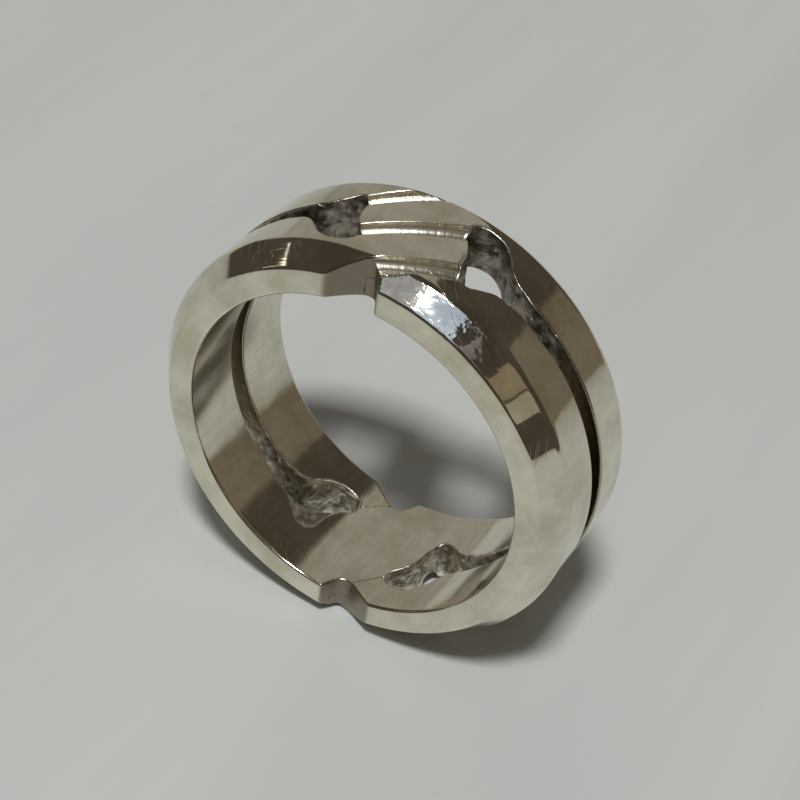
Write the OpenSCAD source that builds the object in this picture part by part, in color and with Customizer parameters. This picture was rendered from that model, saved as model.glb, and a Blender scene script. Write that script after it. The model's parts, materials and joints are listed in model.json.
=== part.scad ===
// A linked puzzle finger ring, in two pieces. Two closed rings run through each other like links of a
// chain and fold together into one band: each crosses from one side of the band to the other at the
// top and at the bottom, and at both places one ring is lapped over the other, half its thickness each.
// The band stands on its rim. The origin is the middle of its foot, +Z is up, and the finger hole runs
// along Y, with the front face at -Y. A "plan" below is the outline of a part seen along Z.

/* [Band] */
// Diameter of the finger hole
bore_d = 18.3; // [18:0.1:19]
// Diameter over the outer surface
outer_d = 23; // [22.8:0.1:23.6]
// Width between the front and back faces
band_w = 8.5; // [8.4:0.1:9]
// How far the bevels cut into the outer surface, measured along the radius
bevel_depth = 1; // [0.8:0.1:1.1]
// How far the bevels reach in from each face
bevel_w = 1.3; // [1.1:0.1:1.4]
// Size of the small chamfer where the finger hole meets each face
bore_chamfer = 0.1; // [0.05:0.05:0.15]
// Width of the worn flat under the foot
foot_w = 4; // [3.5:0.1:4.5]

/* [Crossing] */
// Width of the slot that parts the two rings at the left and at the right
slot_w = 1; // [0.95:0.05:1.1]
// Angle between the crossing strands and the X axis
cross_angle = 35; // [34:0.5:36]
// Width of the three grooves in the upper strand
groove_w = 1; // [0.9:0.05:1.1]
// Depth of the grooves
groove_depth = 0.55; // [0.45:0.05:0.6]
// Distance from the middle groove to each outer groove
groove_pitch = 2.8; // [2.75:0.01:2.85]

/* [Fit] */
// Gap between the two rings where they lie against each other
fit_gap = 0.04; // [0.02:0.01:0.06]
// Share of the wall that the lower strand keeps at a crossing
lower_share = 0.49; // [0.45:0.01:0.5]
// How far the lift ring's underside stays off the surface that the base ring's foot stands on
foot_clearance = 0.06; // [0.03:0.01:0.1]

/* [Quality] */
// Segments of a full circle
circle_steps = 180; // [90:10:240]
// Straight pieces between two points of a curved outline
curve_steps = 4; // [2:1:6]

/* [Hidden] */
$fn = circle_steps;

bore_r = bore_d / 2;
outer_r = outer_d / 2;
face_y = band_w / 2;
face_r = outer_r - bevel_depth;
bevel_y = face_y - bevel_w;
foot_z = sqrt(outer_r * outer_r - foot_w * foot_w / 4);
lap_r = bore_r + (outer_r - bore_r) * lower_share;
half_gap = fit_gap / 2;

// Anything this far out is clear of the band
far = outer_r + 2;

// The slot starts this far from the middle, inside the hollow at its end
slot_start = 5.8;

// Plan of the hollow that the slot opens into at its right end, from the back edge of the slot round
// to its front edge. The other three hollows are turned copies of it.
hollow_bend = [
    [6.4, slot_w / 2], [5.4, 0.68], [4.7, 1.1], [4.15, 1.8], [3.5, 2.35], [2.7, 2.45],
    [2.1, 2.1], [2, 1.45], [2.55, 0.8], [2.95, 0], [3.05, -0.8], [3.3, -1.45],
    [3.75, -1.62], [4.3, -1.2], [4.9, -0.76], [5.6, -0.6], [6.4, -slot_w / 2]
];

// Plan of the notch in the front face, steep on its right and sloping on its left. It parts the rings
// on the front face, and a turned copy of it parts them on the back face.
notch_bend = [
    [0.75, -4.9], [0.45, -4.05], [0.1, -3.4], [-0.25, -3.17], [-0.7, -3.25],
    [-1.4, -3.7], [-2.2, -4.27], [-2.9, -4.9]
];

// Plan of the floor that closes the front corner of one hollow towards the finger hole, and how far
// below the surface of the finger hole it lies. The others are open right through.
corner_floor = [[2.6, 0.2], [3.2, -0.05], [4, -0.4], [5.4, -0.58], [5.4, -2.2], [2.6, -2.2]];
corner_depth = 0.25;

// The upper strand is parted from the lower ring along the outer side of each outer groove. The seam
// is set into the groove by a fifth of its half width, so that it shows as little as it can.
seam_v = groove_pitch + 0.4 * groove_w;

// The lower strand is parted from the upper ring along a line from the hollow to the notch
lower_seam_start = [2.13, 1.6];
lower_seam_end = [0.42, 3.35];

// Radius that the outer surface has along a slanting strand, where that strand crosses the top
strand_r = outer_r / pow(cos(cross_angle), 2);

// Where a curve through four points lies between its second and third point, for t from 0 to 1
function curve_point(a, b, c, d, t) =
    b + (c - a) * t / 2
    + (2 * a - 5 * b + 4 * c - d) * t * t / 2
    + (3 * b - a - 3 * c + d) * t * t * t / 2;

// A smooth line through all the points
function curve(p) = concat(
    [for (i = [0:len(p) - 2])
        for (s = [0:curve_steps - 1])
            curve_point(p[max(i - 1, 0)], p[i], p[i + 1], p[min(i + 2, len(p) - 1)], s / curve_steps)],
    [p[len(p) - 1]]
);

// The same outline turned half a turn about Z
function turned(p) = [for (q = p) -q];

// Unit vector square to the line between two points, to its right
function side_of(a, b) = [b[1] - a[1], a[0] - b[0]] / norm(b - a);

// Half the outline of the ring that runs over the top: the strip between the two outer seams, and the
// front left and back right quarters of the band. It is grown by g at the seams.
function upper_half_plan(g) =
    let (rise = tan(cross_angle), seam_y = (seam_v + g) / cos(cross_angle), x_in_hollow = 3.5)
    [
        [-far, 0],
        [-x_in_hollow, 0],
        [-x_in_hollow, seam_y - rise * x_in_hollow],
        [far, seam_y + rise * far]
    ];

// Half the outline of the ring that runs under the top, grown by g at the seams
function lower_half_plan(g) =
    let (out = g * side_of(lower_seam_start, lower_seam_end))
    [
        [far, 0],
        [3.4, 0],
        lower_seam_start + out,
        lower_seam_end + out,
        [lower_seam_end[0] + out[0], far],
        [-far, far]
    ];

function upper_plan(g) = concat(upper_half_plan(g), turned(upper_half_plan(g)));
function lower_plan(g) = concat(lower_half_plan(g), turned(lower_half_plan(g)));

// A plan raised from the middle of the band to well above its top
module column(plan) {
    linear_extrude(height = far)
        polygon(plan);
}

// A solid round bar along Y
module bar(r) {
    rotate([90, 0, 0])
        cylinder(r = r, h = 2 * far, center = true);
}

// The plain band before anything is cut, with its axis along Y
module plain_band() {
    rotate([90, 0, 0])
        rotate_extrude()
            polygon([
                [bore_r, bore_chamfer - face_y],
                [bore_r + bore_chamfer, -face_y],
                [face_r, -face_y],
                [outer_r, -bevel_y],
                [outer_r, bevel_y],
                [face_r, face_y],
                [bore_r + bore_chamfer, face_y],
                [bore_r, face_y - bore_chamfer]
            ]);
}

// A round-bottomed groove that follows the outer surface along a slanting strand. It crosses the top
// at y, and is cut between x_from and x_to.
module groove(y, x_from, x_to) {
    groove_r = groove_w / 2;
    intersection() {
        translate([0, y, outer_r - strand_r])
            rotate([90, 0, cross_angle])
                rotate_extrude()
                    translate([strand_r - groove_depth + groove_r, 0])
                        circle(r = groove_r, $fn = 48);
        translate([x_from, -far, 0])
            cube([x_to - x_from, 2 * far, far]);
    }
}

// The upper half of the band with its slots, hollows, notches and grooves, still in one piece
module top_half() {
    outer_groove_y = groove_pitch / cos(cross_angle);
    difference() {
        intersection() {
            plain_band();
            translate([-far, -far, 0])
                cube([2 * far, 2 * far, far]);
        }
        for (side = [0, 180])
            rotate([0, 0, side]) {
                translate([slot_start, -slot_w / 2, -1])
                    cube([far, slot_w, far + 1]);
                column(curve(hollow_bend));
                column(curve(notch_bend));
                groove(-outer_groove_y, -1.5, 3.6);
            }
        groove(0, -2.6, 2.6);
    }
}

// The part of the upper half that belongs to the ring which runs over the top
module over_half() {
    difference() {
        intersection() {
            top_half();
            column(upper_plan(-half_gap));
        }
        intersection() {
            bar(lap_r + half_gap);
            column(lower_plan(half_gap));
        }
    }
}

// The part of the upper half that belongs to the ring which runs under the top
module under_half() {
    difference() {
        intersection() {
            top_half();
            column(lower_plan(-half_gap));
        }
        difference() {
            column(upper_plan(half_gap));
            bar(lap_r - half_gap);
        }
    }
}

// The sunken floor in the front corner of the right hollow, on the side of the finger hole
module closed_corner() {
    intersection() {
        column(corner_floor);
        difference() {
            bar(lap_r - half_gap);
            bar(bore_r + corner_depth);
        }
    }
}

// One closed ring, which runs over the other at the top and under it at the bottom. Its children are
// added to its lower half, as they stand in the upper half.
module crossing_ring() {
    over_half();
    rotate([0, 180, 0]) {
        under_half();
        children();
    }
}

// Everything below a height over the surface that the band stands on
module below(height) {
    translate([-far, -far, height - far])
        cube([2 * far, 2 * far, far]);
}

// The ring that stands on the table. It runs over the other at the bottom, where its foot is worn flat.
module base_ring() {
    color("silver")
        difference() {
            translate([0, 0, foot_z])
                rotate([0, 180, 0])
                    crossing_ring();
            below(0);
        }
}

// The ring that lifts out of the other one and hangs in it as a link of a chain
module lift_ring() {
    color("gainsboro")
        difference() {
            translate([0, 0, foot_z])
                crossing_ring()
                    closed_corner();
            below(foot_clearance);
        }
}

base_ring();
lift_ring();
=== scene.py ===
"""Looks of the linked puzzle ring: two polished silver rings with rough cast slots, on a pale floor.

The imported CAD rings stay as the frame. Each one is stood for by a finer piece of the same shape and size,
which adds the small things that a cast ring has: broken edges, a lumpy casting skin in its slots and
hollows, striations in its grooves and a slightly wavy polish.

Each piece is made from one function, the distance to its surface, which combines the plain band with the
cuts made in it. That distance is negative inside the metal. Lengths are in millimetres, and places are
relative to the middle of the finger hole (x to the right, y to the back, z up), until a mesh is written
in metres in the frame that all pieces share.

A half is the half of the band above the finger hole's axis. The lower half of each ring is the upper half
of the other ring, turned half a turn about Y.
"""

import json
import math

import bpy
import numpy as np
from mathutils import Euler, Matrix, Vector

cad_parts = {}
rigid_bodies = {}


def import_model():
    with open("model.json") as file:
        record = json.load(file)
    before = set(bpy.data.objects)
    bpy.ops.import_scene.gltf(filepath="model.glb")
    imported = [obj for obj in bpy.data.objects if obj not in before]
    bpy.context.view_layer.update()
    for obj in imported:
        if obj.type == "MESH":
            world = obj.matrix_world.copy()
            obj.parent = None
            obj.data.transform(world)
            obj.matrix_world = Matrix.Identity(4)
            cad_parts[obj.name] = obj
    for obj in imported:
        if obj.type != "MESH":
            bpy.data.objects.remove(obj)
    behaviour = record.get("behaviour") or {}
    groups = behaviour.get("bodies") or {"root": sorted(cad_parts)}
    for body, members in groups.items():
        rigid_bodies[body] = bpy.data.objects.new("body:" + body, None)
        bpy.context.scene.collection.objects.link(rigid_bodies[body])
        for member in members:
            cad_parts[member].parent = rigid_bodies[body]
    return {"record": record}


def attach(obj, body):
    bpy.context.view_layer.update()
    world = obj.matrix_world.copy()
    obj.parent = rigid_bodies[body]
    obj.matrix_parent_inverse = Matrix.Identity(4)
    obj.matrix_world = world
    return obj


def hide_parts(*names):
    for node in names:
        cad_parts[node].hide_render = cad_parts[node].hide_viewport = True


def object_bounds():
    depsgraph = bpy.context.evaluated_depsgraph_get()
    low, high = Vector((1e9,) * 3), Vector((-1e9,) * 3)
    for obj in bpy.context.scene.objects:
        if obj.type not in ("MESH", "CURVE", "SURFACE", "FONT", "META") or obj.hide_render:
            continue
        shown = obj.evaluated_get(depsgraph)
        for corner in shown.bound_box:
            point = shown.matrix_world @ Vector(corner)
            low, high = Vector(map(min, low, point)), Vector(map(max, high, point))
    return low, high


for leftover in list(bpy.data.objects):
    bpy.data.objects.remove(leftover)

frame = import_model()
cad_low, cad_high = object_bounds()

MM = 0.001
finger_hole = next(m for m in frame["record"]["mounts"] if m["name"] == "finger_hole")

# The band, from the frame
OUTER_R = (cad_high.x - cad_low.x) / 2 / MM
BAND_W = (cad_high.y - cad_low.y) / MM
BORE_R = finger_hole["dims"]["r_mm"]
RING_Z = finger_hole["pos_m"][2] / MM
FACE_Y = BAND_W / 2

# The rest of the shape, with the values that it has in the CAD source
BEVEL_DEPTH = 1.0
BEVEL_W = 1.3
BORE_CHAMFER = 0.1
SLOT_W = 1.0
SLOT_START = 5.8
CROSS_ANGLE = math.radians(35)
GROOVE_W = 1.0
GROOVE_DEPTH = 0.55
GROOVE_PITCH = 2.8
LOWER_SHARE = 0.49
FOOT_CLEARANCE = 0.06
SEAM_V = GROOVE_PITCH + 0.4 * GROOVE_W
LAP_R = BORE_R + (OUTER_R - BORE_R) * LOWER_SHARE
STRAND_R = OUTER_R / math.cos(CROSS_ANGLE) ** 2
HOLLOW_BEND = [
    (6.4, SLOT_W / 2), (5.4, 0.68), (4.7, 1.1), (4.15, 1.8), (3.5, 2.35), (2.7, 2.45),
    (2.1, 2.1), (2.0, 1.45), (2.55, 0.8), (2.95, 0.0), (3.05, -0.8), (3.3, -1.45),
    (3.75, -1.62), (4.3, -1.2), (4.9, -0.76), (5.6, -0.6), (6.4, -SLOT_W / 2),
]
NOTCH_BEND = [
    (0.75, -4.9), (0.45, -4.05), (0.1, -3.4), (-0.25, -3.17), (-0.7, -3.25),
    (-1.4, -3.7), (-2.2, -4.27), (-2.9, -4.9),
]
LOWER_SEAM_START = (2.13, 1.6)
LOWER_SEAM_END = (0.42, 3.35)
X_IN_UPPER_HOLLOW = 3.5
X_IN_LOWER_HOLLOW = 3.4
OUTER_GROOVE_X = (-1.5, 3.6)
MIDDLE_GROOVE_X = (-2.6, 2.6)
CORNER_FLOOR = [(2.6, 0.2), (3.2, -0.05), (4.0, -0.4), (5.4, -0.58), (5.4, -2.2), (2.6, -2.2)]
CORNER_DEPTH = 0.25

# Anything this far out is clear of the band
FAR = OUTER_R + 2

# The rings are drawn nearer to each other than the CAD's fit gap, because the seam hardly shows
DRAWN_GAP = 0.012

# How far each kind of edge is broken
POLISHED_EDGE = 0.14
CUT_EDGE = 0.12
BORE_EDGE = 0.06
FOOT_EDGE = 0.03
GROOVE_EDGE = 0.05
SEAM_EDGE = 0.012

# Along X, where the casting skin in a slot starts to fade, and where the slot is clean
ROUGH_SLOT_X = 6.5
SMOOTH_SLOT_X = 9.8

# How much of the casting skin's look the sawn walls of the slots have
SLOT_WALL_CAST = 0.45

# Cells in each direction of a table of random numbers, after which the pattern repeats. A power of two.
LATTICE_SIZE = 32

# Spacing of the grid that a plan is worked out on, and how far it runs past the band
PLAN_STEP = 0.03
PLAN_MARGIN = 0.6

# Size of a mesh cell, and of the wider cells where only the slots run round
CELL = 0.085
LONG_CELL = 0.22
CROSSING_HALF_ANGLE = math.radians(38)

# How far apart two distances are taken to find a slope
SLOPE_STEP = 0.006

# How many angles are worked out at a time, to save memory
ANGLES_AT_A_TIME = 60

# How strongly a vertex is held to the mean of its cell's crossings, and how far it may leave it in cells
HOLD_TO_MEAN = 0.06
FURTHEST_IN_CELLS = 0.7

# A vertex lies on a sharp edge where its normal turns by more than this within a face
SHARP_TURN = math.radians(22)

# How far from its own place a kind of surface still shows
KIND_REACH = 0.12
GROOVE_REACH = 0.08

# A lap surface is this far inside the folded band, and looks fully like one this much further in
LAP_DEPTH = 0.03
LAP_FADE = 0.05

# The dented end of a bevel: how softly it starts beside the notch, where it ends along X, and how softly
DENTS_START_FADE = 0.4
DENTS_END_X = 7.5
DENTS_END_FADE = 2

# Height over which the casting skin of the ring's upper half turns into that of the lower half, which is
# painted lighter as painted light
PAINTED_LIGHT_FADE = 5


# ---------------------------------------------------------------- noise and distances


def lattice(seed):
    """A table of random numbers from 0 to 1."""
    size = (LATTICE_SIZE, LATTICE_SIZE, LATTICE_SIZE)
    return np.random.default_rng(seed).random(size).astype(np.float32)


LATTICES = [lattice(seed) for seed in range(6)]


def noise(points, size, which=0):
    """Smooth random values from 0 to 1 at the points, with bumps about `size` wide."""
    table = LATTICES[which]
    cell = points / size
    low = np.floor(cell).astype(np.int64)
    part = cell - low
    part = part * part * (3 - 2 * part)
    low &= LATTICE_SIZE - 1
    high = (low + 1) & (LATTICE_SIZE - 1)
    total = 0
    for cell_corner in range(8):
        picks = [(cell_corner >> axis) & 1 for axis in range(3)]
        index = [(high if pick else low)[..., axis] for axis, pick in enumerate(picks)]
        weight = 1
        for axis, pick in enumerate(picks):
            weight = weight * (part[..., axis] if pick else 1 - part[..., axis])
        total = total + weight * table[index[0], index[1], index[2]]
    return total


def round_max(a, b, width):
    """The larger of two distances, with the corner between them rounded off over `width`."""
    near = np.maximum(width - np.abs(a - b), 0) / width
    return np.maximum(a, b) + near * near * width / 4


def curve(points, steps=6):
    """A smooth line through all the points, as in the CAD source."""
    p = np.array(points, float)
    line = []
    for i in range(len(p) - 1):
        a, b, c, d = p[max(i - 1, 0)], p[i], p[i + 1], p[min(i + 2, len(p) - 1)]
        for s in range(steps):
            t = s / steps
            line.append(
                b + (c - a) * t / 2 + (2 * a - 5 * b + 4 * c - d) * t * t / 2
                + (3 * b - a - 3 * c + d) * t**3 / 2
            )
    line.append(p[-1])
    return np.array(line)


def outline_distance(outline, x, y):
    """Distance from plan points to a closed outline, negative inside it."""
    nearest = np.full(x.shape, 1e9)
    inside = np.zeros(x.shape, bool)
    for (ax, ay), (bx, by) in zip(outline, np.roll(outline, -1, axis=0)):
        ex, ey = bx - ax, by - ay
        t = np.clip(((x - ax) * ex + (y - ay) * ey) / (ex * ex + ey * ey + 1e-12), 0, 1)
        nearest = np.minimum(nearest, np.hypot(x - ax - t * ex, y - ay - t * ey))
        if ay != by:
            crosses = ((ay > y) != (by > y)) & (x < ax + ex * (y - ay) / ey)
            inside ^= crosses
    return np.where(inside, -nearest, nearest)


class Plan:
    """A distance worked out once over a fine plan grid, and then read anywhere on it."""

    def __init__(self, outline):
        self.x0, self.y0 = -OUTER_R - PLAN_MARGIN, -FACE_Y - PLAN_MARGIN
        xs = np.arange(self.x0, -self.x0, PLAN_STEP)
        ys = np.arange(self.y0, -self.y0, PLAN_STEP)
        x, y = np.meshgrid(xs, ys, indexing="ij")
        self.grid = outline_distance(np.array(outline, float), x, y)

    def __call__(self, x, y):
        u = np.clip((x - self.x0) / PLAN_STEP, 0, self.grid.shape[0] - 1.001)
        v = np.clip((y - self.y0) / PLAN_STEP, 0, self.grid.shape[1] - 1.001)
        i, j = u.astype(np.int64), v.astype(np.int64)
        u, v = u - i, v - j
        g = self.grid
        return (
            g[i, j] * (1 - u) * (1 - v) + g[i + 1, j] * u * (1 - v)
            + g[i, j + 1] * (1 - u) * v + g[i + 1, j + 1] * u * v
        )


def turned(points):
    """The same outline turned half a turn about Z."""
    return [(-x, -y) for x, y in points]


def side_of(a, b):
    """Unit vector square to the line between two plan points, to its right."""
    length = math.hypot(b[0] - a[0], b[1] - a[1])
    return (b[1] - a[1]) / length, (a[0] - b[0]) / length


def upper_half_plan(g):
    """Half the outline of the ring that runs over the top, grown by g at the seams."""
    rise = math.tan(CROSS_ANGLE)
    seam_y = (SEAM_V + g) / math.cos(CROSS_ANGLE)
    return [
        (-FAR, 0),
        (-X_IN_UPPER_HOLLOW, 0),
        (-X_IN_UPPER_HOLLOW, seam_y - rise * X_IN_UPPER_HOLLOW),
        (FAR, seam_y + rise * FAR),
    ]


def lower_half_plan(g):
    """Half the outline of the ring that runs under the top, grown by g at the seams."""
    out = [g * c for c in side_of(LOWER_SEAM_START, LOWER_SEAM_END)]
    return [
        (FAR, 0),
        (X_IN_LOWER_HOLLOW, 0),
        (LOWER_SEAM_START[0] + out[0], LOWER_SEAM_START[1] + out[1]),
        (LOWER_SEAM_END[0] + out[0], LOWER_SEAM_END[1] + out[1]),
        (LOWER_SEAM_END[0] + out[0], FAR),
        (-FAR, FAR),
    ]


hollow = Plan(curve(HOLLOW_BEND))
corner = Plan(CORNER_FLOOR)
notch = Plan(curve(NOTCH_BEND))
upper_plan = Plan(upper_half_plan(0) + turned(upper_half_plan(0)))
lower_plan = Plan(lower_half_plan(0) + turned(lower_half_plan(0)))


# ---------------------------------------------------------------- the shape of a ring


def bevel_distance(rho, far_y):
    """Distance to the cone that both bevels lie on."""
    slope = math.hypot(BEVEL_W, BEVEL_DEPTH)
    return ((rho - OUTER_R) * BEVEL_W + (far_y - FACE_Y + BEVEL_W) * BEVEL_DEPTH) / slope


def band_distance(y, rho, points):
    """The plain band. Its polish is a little wavy, and always takes metal away."""
    wave = 0.012 * noise(points, 1.9, 0) + 0.006 * noise(points, 0.8, 1)
    far_y = np.abs(y)
    outside = round_max(rho - OUTER_R, bevel_distance(rho, far_y), POLISHED_EDGE)
    outside = round_max(outside, far_y - FACE_Y, POLISHED_EDGE)
    inner_corner = (BORE_R - rho + far_y - FACE_Y + BORE_CHAMFER) / math.sqrt(2)
    outside = round_max(outside, inner_corner, BORE_EDGE)
    return round_max(outside, BORE_R - rho, BORE_EDGE) + wave


def groove_distance(x, y, z, top_y, ends):
    """A round-bottomed groove with fine striations across it, negative inside it. It follows the outer
    surface along a slanting strand, crosses the top at top_y, and is cut between its two ends along X."""
    cos, sin = math.cos(CROSS_ANGLE), math.sin(CROSS_ANGLE)
    along = x * cos + (y - top_y) * sin
    across = -x * sin + (y - top_y) * cos
    ring = np.hypot(along, z - (OUTER_R - STRAND_R))
    radius = GROOVE_W / 2
    striations = 0.012 * noise(np.stack([along, across * 0.15, ring * 0.15], -1), 0.16, 2)
    tube = np.hypot(ring - (STRAND_R - GROOVE_DEPTH + radius), across) - radius - striations
    return np.maximum(tube, np.maximum(ends[0] - x, x - ends[1]))


def casting_skin(points):
    """Depth of the lumps and pits in a cast surface that was never polished."""
    lumps = noise(points, 0.62, 3)
    grains = noise(points, 0.24, 4)
    pits = np.clip(noise(points, 0.36, 5) - 0.7, 0, 1)
    return 0.085 * lumps + 0.035 * grains + 0.22 * pits - 0.02


def near_crossing(x):
    """1 in the hollows and at the ends of the slots, down to 0 where the slots are sawn clean."""
    t = np.clip((SMOOTH_SLOT_X - np.abs(x)) / (SMOOTH_SLOT_X - ROUGH_SLOT_X), 0, 1)
    return t * t * (3 - 2 * t)


def rough_cut(x, y, rho, points, closed_corner):
    """Distance to the slots and hollows of a half, negative inside them. A closed corner keeps a dished
    floor in the front corner of the right hollow."""
    slot = np.maximum(SLOT_START - np.abs(x), np.abs(y) - SLOT_W / 2)
    rough = np.minimum(np.minimum(hollow(x, y), hollow(-x, -y)), slot)
    rough = rough - casting_skin(points) * near_crossing(x)
    if closed_corner:
        floor = np.maximum(BORE_R + CORNER_DEPTH - rho, rho - LAP_R + DRAWN_GAP / 2)
        rough = round_max(rough, -np.maximum(corner(x, y), floor), CUT_EDGE)
    return rough


def notch_cut(x, y, points):
    """Distance to the notches in the front and back faces, negative inside them."""
    return np.minimum(notch(x, y), notch(-x, -y)) - 0.03 * noise(points, 0.5, 2)


def groove_cut(x, y, z):
    """Distance to the three grooves, negative inside them."""
    side_y = GROOVE_PITCH / math.cos(CROSS_ANGLE)
    outer_grooves = np.minimum(
        groove_distance(x, y, z, -side_y, OUTER_GROOVE_X),
        groove_distance(-x, -y, z, -side_y, OUTER_GROOVE_X),
    )
    return np.minimum(outer_grooves, groove_distance(x, y, z, 0, MIDDLE_GROOVE_X))


def half_distance(x, y, z, points, over, closed_corner):
    """Distance to the upper half of the ring that runs over, or under, the other at the top."""
    rho = np.hypot(x, z)
    shape = band_distance(y, rho, points)
    shape = round_max(shape, -rough_cut(x, y, rho, points, closed_corner), CUT_EDGE)
    shape = round_max(shape, -notch_cut(x, y, points), CUT_EDGE)
    shape = round_max(shape, -groove_cut(x, y, z), GROOVE_EDGE)
    half_gap = DRAWN_GAP / 2
    if over:
        shape = round_max(shape, upper_plan(x, y) + half_gap, SEAM_EDGE)
        lap = np.maximum(rho - LAP_R, lower_plan(x, y)) - half_gap
    else:
        shape = round_max(shape, lower_plan(x, y) + half_gap, SEAM_EDGE)
        lap = np.maximum(upper_plan(x, y), LAP_R - rho) - half_gap
    return round_max(shape, -lap, SEAM_EDGE)


def ring_distance(points, over_at_top):
    """Distance to one whole ring. Its lower half is the other ring's upper half turned about Y."""
    x, y, z = points[..., 0], points[..., 1], points[..., 2]
    result = np.empty(x.shape)
    for upper in (True, False):
        pick = (z >= 0) if upper else (z < 0)
        sign = 1 if upper else -1
        over = over_at_top == upper
        result[pick] = half_distance(
            x[pick] * sign, y[pick], z[pick] * sign, points[pick], over, over_at_top and not upper
        )
    lowest = FOOT_CLEARANCE if over_at_top else 0
    return round_max(result, lowest - RING_Z - z, FOOT_EDGE)


# ---------------------------------------------------------------- from the shape to a mesh


def angle_steps():
    """Angles round the band: close together over both crossings, wider where only the slots run."""
    quarter = math.pi / 2
    fine = np.arange(quarter - CROSSING_HALF_ANGLE, quarter + CROSSING_HALF_ANGLE, CELL / OUTER_R)
    gap = 2 * (quarter - CROSSING_HALF_ANGLE)
    count = int(gap * OUTER_R / LONG_CELL)
    coarse = quarter + CROSSING_HALF_ANGLE + gap * np.arange(count) / count
    half = np.concatenate([fine, coarse])
    return np.concatenate([half, half + math.pi])


def to_points(rho, angle, y):
    """Places from a distance from the axis, an angle round it and a place along it."""
    return np.stack([rho * np.cos(angle), y + 0 * angle, rho * np.sin(angle)], -1)


def slope_of(points, over_at_top):
    """Which way the distance grows fastest at each point, and how fast."""
    slope = np.empty(points.shape)
    for axis in range(3):
        shift = np.zeros(3)
        shift[axis] = SLOPE_STEP
        ahead = ring_distance(points + shift, over_at_top)
        behind = ring_distance(points - shift, over_at_top)
        slope[..., axis] = (ahead - behind) / (2 * SLOPE_STEP)
    return slope


def unit(vectors):
    """The same directions with a length of 1."""
    return vectors / np.maximum(np.linalg.norm(vectors, axis=-1, keepdims=True), 1e-6)


def onto_surface(points, over_at_top):
    """Moves points that are close to the surface onto it."""
    slope = slope_of(points, over_at_top)
    size = np.maximum((slope**2).sum(-1), 0.25)
    move = np.clip(ring_distance(points, over_at_top) / size, -0.03, 0.03)
    return points - move[..., None] * slope


def grid_values(angles, rhos, ys, over_at_top):
    """The distance at every point of a grid that is wrapped round the band."""
    value = np.empty((len(angles), len(rhos), len(ys)))
    for start in range(0, len(angles), ANGLES_AT_A_TIME):
        some = slice(start, start + ANGLES_AT_A_TIME)
        a, r, y = np.meshgrid(angles[some], rhos, ys, indexing="ij")
        value[some] = ring_distance(to_points(r, a, y), over_at_top)
    return value


def surface_net(over_at_top):
    """Vertices and four-sided faces of one ring: one vertex in each grid cell that the surface passes
    through, and one face for each cell edge that it crosses. Each vertex lies where the flat pieces of
    surface round it meet best, so it falls on an edge or corner of the shape where there is one."""
    angles = angle_steps()
    rhos = np.arange(BORE_R - 2 * CELL, OUTER_R + 2 * CELL, CELL)
    ys = np.arange(-FACE_Y - 2 * CELL, FACE_Y + 2.5 * CELL, CELL)
    na, nr, ny = len(angles), len(rhos), len(ys)
    value = grid_values(angles, rhos, ys, over_at_top)

    inside = value < 0
    corner_sum = np.zeros((na, nr - 1, ny - 1), np.int8)
    for da in (0, 1):
        rolled = np.roll(inside, -da, axis=0)
        for dr in (0, 1):
            for dy in (0, 1):
                corner_sum += rolled[:, dr:nr - 1 + dr, dy:ny - 1 + dy]
    cells = (corner_sum > 0) & (corner_sum < 8)
    number = np.full(cells.shape, -1, np.int64)
    number[cells] = np.arange(cells.sum())

    # where the surface crosses each cell edge, and the four cells round that edge
    around = {
        0: ((0, -1, -1), (0, 0, -1), (0, 0, 0), (0, -1, 0)),
        1: ((-1, 0, -1), (-1, 0, 0), (0, 0, 0), (0, 0, -1)),
        2: ((-1, -1, 0), (0, -1, 0), (0, 0, 0), (-1, 0, 0)),
    }
    faces, crossings = [], []
    for axis, shifts in around.items():
        crossed = inside != np.roll(inside, -1, axis=axis)
        if axis:
            last = [slice(None)] * 3
            last[axis] = -1
            crossed[tuple(last)] = False
        ea, er, ey = np.nonzero(crossed)
        one = value[ea, er, ey]
        other = np.roll(value, -1, axis=axis)[ea, er, ey]
        part = one / (one - other)
        place = [ea.astype(float), er.astype(float), ey.astype(float)]
        place[axis] += part
        step = np.diff(np.append(angles, angles[0] + 2 * math.pi))[ea]
        angle = angles[ea] + (place[0] - ea) * step
        crossings.append(to_points(rhos[0] + place[1] * CELL, angle, ys[0] + place[2] * CELL))
        quad = np.stack([number[(ea + s[0]) % na, er + s[1], ey + s[2]] for s in shifts], -1)
        flip = ~inside[ea, er, ey]
        quad[flip] = quad[flip][:, ::-1]
        faces.append(quad)
    faces, crossings = np.concatenate(faces), np.concatenate(crossings)
    normals = unit(slope_of(crossings, over_at_top))

    # least squares over the planes at a cell's crossings, held a little to their mean
    count = np.bincount(faces.ravel(), minlength=cells.sum()).astype(float)

    def summed(values):
        return np.bincount(faces.ravel(), np.repeat(values, 4), minlength=len(count))

    mean = np.stack([summed(crossings[:, k]) for k in range(3)], -1) / count[:, None]
    matrix = np.empty((len(count), 3, 3))
    for i in range(3):
        for j in range(3):
            matrix[:, i, j] = summed(normals[:, i] * normals[:, j]) + (HOLD_TO_MEAN if i == j else 0)
    reach = (normals * crossings).sum(-1)
    right = np.stack([summed(normals[:, k] * reach) for k in range(3)], -1) + HOLD_TO_MEAN * mean
    points = np.linalg.solve(matrix, right[..., None])[..., 0]
    points = mean + np.clip(points - mean, -FURTHEST_IN_CELLS * CELL, FURTHEST_IN_CELLS * CELL)
    return onto_surface(points, over_at_top), faces


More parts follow.
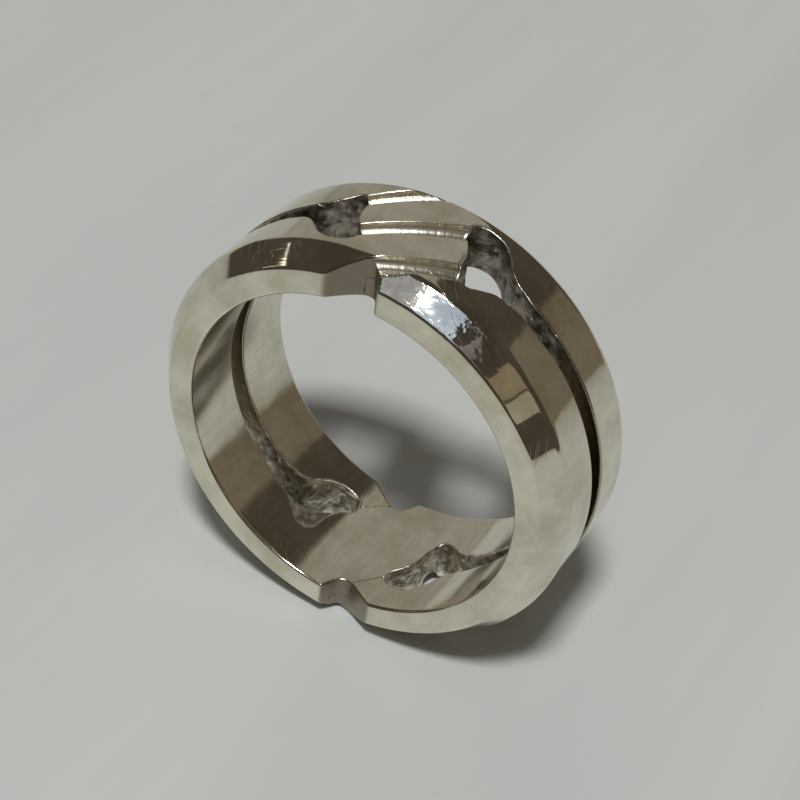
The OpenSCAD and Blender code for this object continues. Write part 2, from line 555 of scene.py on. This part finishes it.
def corner_normals(points, faces, over_at_top):
    """A normal for each corner of each face: the vertex's own where the surface is smooth, and one from
    just inside the face where the vertex lies on a sharp edge."""
    at_vertex = unit(slope_of(points, over_at_top))[faces]
    corners = points[faces]
    inner = corners + 0.35 * (corners.mean(axis=1, keepdims=True) - corners)
    in_face = unit(slope_of(inner, over_at_top))
    sharp = (at_vertex * in_face).sum(-1) < math.cos(SHARP_TURN)
    return np.where(sharp[..., None], in_face, at_vertex)


def make_mesh(name, points, faces, normals):
    """A Blender mesh in metres, in the frame that all pieces share."""
    mesh = bpy.data.meshes.new(name)
    mesh.vertices.add(len(points))
    in_shared_frame = (points + [0, 0, RING_Z]) * MM
    mesh.vertices.foreach_set("co", in_shared_frame.astype(np.float32).ravel())
    mesh.loops.add(len(faces) * 4)
    mesh.loops.foreach_set("vertex_index", faces.astype(np.int32).ravel())
    mesh.polygons.add(len(faces))
    mesh.polygons.foreach_set("loop_start", np.arange(len(faces), dtype=np.int32) * 4)
    mesh.polygons.foreach_set("use_smooth", np.ones(len(faces), bool))
    mesh.update(calc_edges=True)
    mesh.validate()
    mesh.normals_split_custom_set(normals.reshape(-1, 3).tolist())
    return mesh


SURFACE_KINDS = ("cast", "sawn", "notch", "groove", "lap", "bevel", "hammered", "painted_light_below", "bore")


def share_near(distance, reach):
    """1 at a surface, down to 0 where the distance to it is `reach`."""
    return np.clip(1 - distance / reach, 0, 1)


def surface_shares(points, over_at_top):
    """The share that each vertex has of each kind of surface, in the order of SURFACE_KINDS:
    cast, the casting skin in the slots and hollows; sawn, the clean walls of the slots, whose colour is
    painted partly lighter as painted light;
    notch and groove, the cuts of those names; lap, the faces on which the rings lie against each other;
    bevel, the bevels; hammered, the dented part of a bevel beside a notch;
    painted_light_below, the lower half of the ring, where the skin is painted lighter as painted light;
    bore, the wall of the finger hole."""
    upper = points[:, 2] >= 0
    sign = np.where(upper, 1, -1)
    x, y, z = points[:, 0] * sign, points[:, 1], points[:, 2] * sign
    rho = np.hypot(x, z)
    rough = rough_cut(x, y, rho, points, False)
    if over_at_top:
        rough = np.where(upper, rough, rough_cut(x, y, rho, points, True))
    off_notch, off_groove = notch_cut(x, y, points), groove_cut(x, y, z)
    inside_band = -band_distance(y, rho, points)
    hidden = np.minimum(np.minimum(inside_band, rough), np.minimum(off_notch, off_groove))
    cast = share_near(rough, KIND_REACH)
    groove = share_near(off_groove, GROOVE_REACH)
    bevel = share_near(np.abs(bevel_distance(rho, np.abs(y))), KIND_REACH) * (1 - cast)
    past_notch = np.clip(0.5 - x * np.sign(y) / DENTS_START_FADE, 0, 1)
    before_end = np.clip((DENTS_END_X - np.abs(x)) / DENTS_END_FADE, 0, 1)
    return (
        cast * (SLOT_WALL_CAST + (1 - SLOT_WALL_CAST) * near_crossing(x)),
        cast * (1 - near_crossing(x)),
        share_near(off_notch, KIND_REACH),
        groove,
        np.clip((hidden - LAP_DEPTH) / LAP_FADE, 0, 1),
        bevel,
        bevel * past_notch * before_end * (1 - groove),
        np.clip(0.5 - points[:, 2] / PAINTED_LIGHT_FADE, 0, 1),
        share_near(np.abs(rho - BORE_R), KIND_REACH) * (1 - cast),
    )


def ring_piece(name, over_at_top):
    """One ring's piece. Its material reads the shares, which are stored with each vertex."""
    points, faces = surface_net(over_at_top)
    mesh = make_mesh(name, points, faces, corner_normals(points, faces, over_at_top))
    for kind, share in zip(SURFACE_KINDS, surface_shares(points, over_at_top)):
        data = mesh.attributes.new(kind, "FLOAT", "POINT").data
        data.foreach_set("value", share.astype(np.float32))
    return bpy.data.objects.new(name, mesh)


# ---------------------------------------------------------------- materials


class Nodes:
    """Short calls for building a material's nodes."""

    def __init__(self, name):
        self.material = bpy.data.materials.new(name)
        self.material.use_nodes = True
        self.tree = self.material.node_tree
        self.tree.nodes.clear()
        self.shader = self.add("ShaderNodeBsdfPrincipled")
        output = self.add("ShaderNodeOutputMaterial")
        self.link(self.shader.outputs["BSDF"], output.inputs["Surface"])
        coordinates = self.add("ShaderNodeTexCoord")
        self.place = coordinates.outputs["Object"]
        self.facing = coordinates.outputs["Normal"]

    def add(self, kind, **settings):
        node = self.tree.nodes.new(kind)
        for key, value in settings.items():
            setattr(node, key, value)
        return node

    def link(self, source, target):
        self.tree.links.new(source, target)

    def feed(self, target, value):
        """Links another node's socket to a target, or sets the target to a plain value."""
        if isinstance(value, bpy.types.NodeSocket):
            self.link(value, target)
        else:
            target.default_value = value

    def math(self, operation, a, b=0.0, clamp=False):
        node = self.add("ShaderNodeMath", operation=operation, use_clamp=clamp)
        self.feed(node.inputs[0], a)
        self.feed(node.inputs[1], b)
        return node.outputs[0]

    def ramp(self, value, low, high, to_low=0.0, to_high=1.0):
        """A value taken smoothly from low..high to to_low..to_high."""
        node = self.add("ShaderNodeMapRange", interpolation_type="SMOOTHSTEP")
        self.feed(node.inputs["Value"], value)
        for key, number in (("From Min", low), ("From Max", high), ("To Min", to_low), ("To Max", to_high)):
            self.feed(node.inputs[key], number)
        return node.outputs[0]

    def mix(self, share, a, b):
        """Colour a, with a share of colour b."""
        node = self.add("ShaderNodeMix", data_type="RGBA")
        self.feed(node.inputs["Factor"], share)
        colours = [socket for socket in node.inputs if socket.type == "RGBA"]
        for socket, value in zip(colours, (a, b)):
            self.feed(socket, value)
        return next(socket for socket in node.outputs if socket.type == "RGBA")

    def stretched(self, scale, turn=(0, 0, 0)):
        """Object coordinates turned and then multiplied by `scale`, so a small scale draws a pattern out."""
        node = self.add("ShaderNodeMapping")
        self.link(self.place, node.inputs["Vector"])
        node.inputs["Scale"].default_value = scale
        node.inputs["Rotation"].default_value = turn
        return node.outputs[0]

    def turned_by(self, angle, stretch):
        """Object coordinates turned about Z and then drawn out by `stretch` along each axis."""
        node = self.add("ShaderNodeMapping", vector_type="TEXTURE")
        self.link(self.place, node.inputs["Vector"])
        node.inputs["Rotation"].default_value = (0, 0, angle)
        node.inputs["Scale"].default_value = stretch
        return node.outputs[0]

    def scratches(self, scale, turn, shift):
        """Thin straight lines, where a noise drawn out along one direction is near its middle value. They
        fade on surfaces that face along that direction."""
        node = self.add("ShaderNodeMapping", vector_type="TEXTURE")
        self.link(self.place, node.inputs["Vector"])
        node.inputs["Location"].default_value = (shift * MM, shift * MM, shift * MM)
        node.inputs["Rotation"].default_value = turn
        node.inputs["Scale"].default_value = (1.0, 30.0, 1.6)
        lines = self.noise(scale, 2.0, 0.5, node.outputs[0])
        off_middle = self.math("ABSOLUTE", self.math("SUBTRACT", lines, 0.5))
        facing = self.add("ShaderNodeVectorMath", operation="DOT_PRODUCT")
        self.link(self.facing, facing.inputs[0])
        facing.inputs[1].default_value = Euler(turn).to_matrix() @ Vector((0, 1, 0))
        fade = self.ramp(self.math("ABSOLUTE", facing.outputs["Value"]), 0.25, 0.6, 1.0, 0.0)
        return self.math("MULTIPLY", self.ramp(off_middle, 0.0, 0.006, 1.0, 0.0), fade)

    def noise(self, scale, detail=3.0, roughness=0.55, vector=None):
        node = self.add("ShaderNodeTexNoise")
        self.link(vector or self.place, node.inputs["Vector"])
        node.inputs["Scale"].default_value = scale
        node.inputs["Detail"].default_value = detail
        node.inputs["Roughness"].default_value = roughness
        return node.outputs["Fac"]

    def attribute(self, name):
        """A number stored with each vertex under a name."""
        return self.add("ShaderNodeAttribute", attribute_name=name).outputs["Fac"]

    def bump(self, height, strength, distance, normal=None):
        """The normal of a surface raised by `height` times `distance` metres, over an earlier normal."""
        node = self.add("ShaderNodeBump")
        node.inputs["Strength"].default_value = strength
        node.inputs["Distance"].default_value = distance
        self.link(height, node.inputs["Height"])
        if normal is not None:
            self.link(normal, node.inputs["Normal"])
        return node.outputs["Normal"]


# Colours of the silver where it is polished, worn, scratched, and satin along the finger hole
POLISHED = (0.80, 0.755, 0.63, 1)
WORN = (0.62, 0.57, 0.445, 1)
SCRATCHED = (0.42, 0.38, 0.30, 1)
SATIN = (0.50, 0.45, 0.34, 1)

# Colours of its other surfaces, as pairs where they are patchy or lined
SKIN = ((0.38, 0.34, 0.29, 1), (0.11, 0.09, 0.07, 1))
# The skin of the ring's lower half, painted lighter: painted light for the light that its hollows catch
PAINTED_LIGHT_SKIN = ((0.88, 0.81, 0.70, 1), (0.34, 0.30, 0.24, 1))
MOTTLED = (0.42, 0.40, 0.37, 1)
# Painted shade: the notch walls are darkened to stand in for the shadowed table that they mirror
NOTCH_WALL_PAINTED_SHADE = (0.22, 0.185, 0.14, 1)
# The sawn walls of the slots: the metal's own colour, painted partly lighter as painted light for the light
# that reaches into the slots
SAWN_WALL_AND_PAINTED_LIGHT = (0.38, 0.32, 0.24, 1)
FILED = ((0.57, 0.56, 0.53, 1), (0.40, 0.39, 0.36, 1))

# The scale and the turn of each set of fine scratches
SCRATCH_SETS = ((1500, (0, 0, 0.5)), (1900, (0.25, 0, 1.35)), (1300, (1.25, 0, 0.4)))

# How far the striations in the grooves are turned about Z: about as far as the grooves are
STRIATION_TURN = 0.61


def scratch_lines(n, shift):
    """Fine scratches in three directions, in patches."""
    first, second, third = [n.scratches(scale, turn, shift) for scale, turn in SCRATCH_SETS]
    patches = n.ramp(n.noise(260, 3.0, 0.6), 0.46, 0.66)
    lines = n.math("MAXIMUM", n.math("MAXIMUM", first, second), third)
    return n.math("MULTIPLY", lines, patches)


def silver_colour(n, share, scratch, wear, lines_round, lines_along):
    """The polished metal, with each other kind of surface laid over it."""
    colour = n.mix(n.ramp(wear, 0.35, 0.7), POLISHED, WORN)
    colour = n.mix(n.math("MULTIPLY", scratch, 0.3), colour, SCRATCHED)
    satin = n.math("MULTIPLY", n.ramp(lines_along, 0.42, 0.6), 0.3)
    colour = n.mix(n.math("MULTIPLY", satin, share["bore"]), colour, SATIN)
    mottles = n.math("MULTIPLY", n.ramp(n.noise(1400, 4.0, 0.6), 0.36, 0.62), share["hammered"])
    colour = n.mix(n.math("MULTIPLY", mottles, 0.7), colour, MOTTLED)
    # painted shade on the notch walls
    colour = n.mix(n.math("MULTIPLY", share["notch"], 0.9), colour, NOTCH_WALL_PAINTED_SHADE)
    skin_patches = n.ramp(n.noise(1500, 4.0, 0.6), 0.38, 0.62)
    # painted light: the skin on the ring's lower half is painted lighter than on its upper half
    skin_and_painted_light = n.mix(share["painted_light_below"], n.mix(skin_patches, *SKIN), n.mix(skin_patches, *PAINTED_LIGHT_SKIN))
    colour = n.mix(share["cast"], colour, skin_and_painted_light)
    # the slots' sawn walls, partly painted light
    colour = n.mix(share["sawn"], colour, SAWN_WALL_AND_PAINTED_LIGHT)
    filed = n.mix(n.ramp(lines_round, 0.35, 0.65), *FILED)
    return n.mix(share["lap"], colour, filed)


def silver_roughness(n, share, scratch, wear):
    """Least on the bevels, and more where the metal is scratched, worn, cut or was never polished."""
    rough = n.ramp(n.noise(170, 4.0, 0.6), 0.3, 0.75, 0.03, 0.09)
    rougher = ((scratch, 0.06), (share["groove"], 0.20), (share["notch"], 0.24), (share["bore"], 0.03))
    for where, more in rougher:
        rough = n.math("ADD", rough, n.math("MULTIPLY", where, more))
    rough = n.math("ADD", rough, n.ramp(wear, 0.3, 0.7, 0.0, 0.04))
    rough = n.math("MULTIPLY", rough, n.math("SUBTRACT", 1.0, n.math("MULTIPLY", share["bevel"], 0.45)))
    unpolished = n.math("MAXIMUM", share["cast"], share["lap"])
    return n.math("ADD", rough, n.math("MULTIPLY", unpolished, 0.27), clamp=True)


def silver_normal(n, share, scratch, lines_round, lines_along):
    """Bumps, one over the other: each pattern, where it shows, its strength and its height in metres."""
    striations = n.noise(7000, 3.0, 0.6, n.turned_by(STRIATION_TURN, (1, 8, 8)))
    lines_and_scratches = n.math(
        "ADD", n.math("MULTIPLY", lines_round, 0.4), n.math("MULTIPLY", scratch, -0.5)
    )
    lumps_and_grains = n.math("ADD", n.noise(5200, 4.0, 0.65), n.noise(1700, 4.0, 0.6))
    normal = None
    for height, kind, strength, distance in (
        (n.noise(900, 0.6, 0.4), "hammered", 1.0, 0.00004),
        (n.noise(3200, 1.0, 0.5), "hammered", 1.0, 0.000007),
        (lines_along, "bore", 1.0, 0.000002),
        (striations, "groove", 1.0, 0.000012),
        (lines_and_scratches, "", 0.4, 0.000012),
        (lines_round, "lap", 1.0, 0.00002),
        (lumps_and_grains, "cast", 0.7, 0.00005),
    ):
        if kind:
            height = n.math("MULTIPLY", height, share[kind])
        normal = n.bump(height, strength, distance, normal)
    return normal


def silver(name, shift):
    """Polished cast silver: a warm mirror with fine scratches, and a dull patchy skin where it was never
    polished. `shift` moves the scratches, so that those of the two rings differ."""
    n = Nodes(name)
    share = {kind: n.attribute(kind) for kind in SURFACE_KINDS}
    scratch = scratch_lines(n, shift)
    wear = n.noise(420, 5.0, 0.62)

    # polishing lines run round the band outside, and along the finger hole inside it
    lines_round = n.noise(900, 4.0, 0.7, n.stretched((0.12, 4.0, 0.12)))
    lines_along = n.noise(7500, 4.0, 0.7, n.stretched((1.0, 0.04, 1.0)))

    n.link(silver_colour(n, share, scratch, wear, lines_round, lines_along), n.shader.inputs["Base Color"])
    n.shader.inputs["Metallic"].default_value = 1.0
    n.link(silver_roughness(n, share, scratch, wear), n.shader.inputs["Roughness"])
    n.link(silver_normal(n, share, scratch, lines_round, lines_along), n.shader.inputs["Normal"])
    return n.material


def pale_floor():
    """A matt pale table with faint slanting streaks."""
    n = Nodes("pale_floor")
    streaks = n.noise(60, 5.0, 0.6, n.stretched((1.0, 0.12, 1.0), (0, 0, 0.5)))
    colour = n.mix(n.ramp(streaks, 0.3, 0.75), (0.52, 0.535, 0.51, 1), (0.58, 0.59, 0.565, 1))
    n.link(colour, n.shader.inputs["Base Color"])
    n.shader.inputs["Roughness"].default_value = 0.55
    return n.material


# ---------------------------------------------------------------- the object


# each ring's body and node, whether it runs over the other at the top, and how far its scratches are moved
RINGS = (("base", "base_ring", False, 0.0), ("lift", "lift_ring", True, 2.0))

for body, node, over_at_top, shift in RINGS:
    piece = ring_piece(node.replace("_ring", "_band"), over_at_top)
    piece.data.materials.append(silver(node + "_silver", shift))
    bpy.context.scene.collection.objects.link(piece)
    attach(piece, body)
    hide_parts(node)


# ---------------------------------------------------------------- floor, light and camera


FLOOR_SIZE = 30.0
RING_MIDDLE = Vector((0, 0, RING_Z)) * MM

# The camera is close, in front of the ring to its right, and well above it
CAMERA_AZIMUTH = 24.9
CAMERA_ELEVATION = 39.9
CAMERA_ROLL = math.radians(8.06)
CAMERA_DISTANCE = 92.8 * MM
CAMERA_LENS = 82.9
CAMERA_AIM = RING_MIDDLE + Vector((0.18, 0.65, 0.62)) * MM


def make_floor():
    bpy.ops.mesh.primitive_plane_add(size=FLOOR_SIZE, location=(0, 0, 0))
    floor = bpy.context.object
    floor.name = "floor"
    floor.data.materials.append(pale_floor())


def direction(azimuth, elevation):
    """From the object towards a place in the studio. Azimuth 0 is in front, and 90 to the right."""
    a, e = math.radians(azimuth), math.radians(elevation)
    return Vector((math.sin(a) * math.cos(e), -math.cos(a) * math.cos(e), math.sin(e)))


def soft_light(name, azimuth, elevation, distance, width, height, radiance, colour=(1, 1, 1)):
    """A rectangle that faces the ring and looks as bright as `radiance`. The lit floor is about 0.45."""
    data = bpy.data.lights.new(name, "AREA")
    data.shape = "RECTANGLE"
    data.size, data.size_y = width, height
    data.energy = radiance * math.pi * width * height
    data.color = colour
    lamp = bpy.data.objects.new(name, data)
    towards = direction(azimuth, elevation)
    lamp.location = RING_MIDDLE + towards * distance
    lamp.rotation_euler = towards.to_track_quat("Z", "Y").to_euler()
    bpy.context.scene.collection.objects.link(lamp)


def make_studio():
    """A dim warm room, a small strong main light, and soft cards that the polished metal mirrors."""
    world = bpy.data.worlds.new("studio")
    bpy.context.scene.world = world
    world.use_nodes = True
    world.node_tree.nodes["Background"].inputs["Color"].default_value = (0.07, 0.058, 0.045, 1)
    world.node_tree.nodes["Background"].inputs["Strength"].default_value = 1.0
    soft_light("key", 13, 68, 1.6, 0.24, 0.227, 118, (0.97, 0.99, 1.0))
    soft_light("window", 18, 56, 0.65, 0.25, 0.19, 0.75, (0.80, 1.0, 1.33))
    soft_light("window_left", -20, 59, 0.65, 0.20, 0.20, 0.42, (0.93, 1.0, 1.15))
    soft_light("window_right", 41, 44, 0.65, 0.13, 0.16, 0.20, (0.95, 0.93, 1.1))
    soft_light("left_strip", -78, 22, 0.5, 0.014, 0.10, 2.2, (1.0, 0.97, 0.9))
    soft_light("right_card", 58, 31, 0.6, 0.18, 0.11, 0.19, (1.0, 0.82, 0.55))
    soft_light("right_low", 62, 20, 0.6, 0.16, 0.10, 0.26, (1.0, 0.95, 0.8))
    soft_light("back", -143, 34, 0.7, 0.68, 0.95, 0.26, (1.0, 0.99, 0.93))
    soft_light("right_back", 132, 13, 0.7, 0.5, 0.4, 0.10, (1.0, 0.85, 0.62))


def make_camera():
    data = bpy.data.cameras.new("camera")
    data.sensor_width = 36.0
    data.lens = CAMERA_LENS
    data.clip_start = 0.005
    camera = bpy.data.objects.new("camera", data)
    back = direction(CAMERA_AZIMUTH, CAMERA_ELEVATION)
    camera.location = CAMERA_AIM + back * CAMERA_DISTANCE
    roll = Matrix.Rotation(CAMERA_ROLL, 4, "Z")
    turn = back.to_track_quat("Z", "Y").to_matrix().to_4x4()
    camera.matrix_world = Matrix.Translation(camera.location) @ turn @ roll
    bpy.context.scene.collection.objects.link(camera)
    bpy.context.scene.camera = camera


make_floor()
make_studio()
make_camera()
bpy.context.scene.view_settings.view_transform = "Standard"
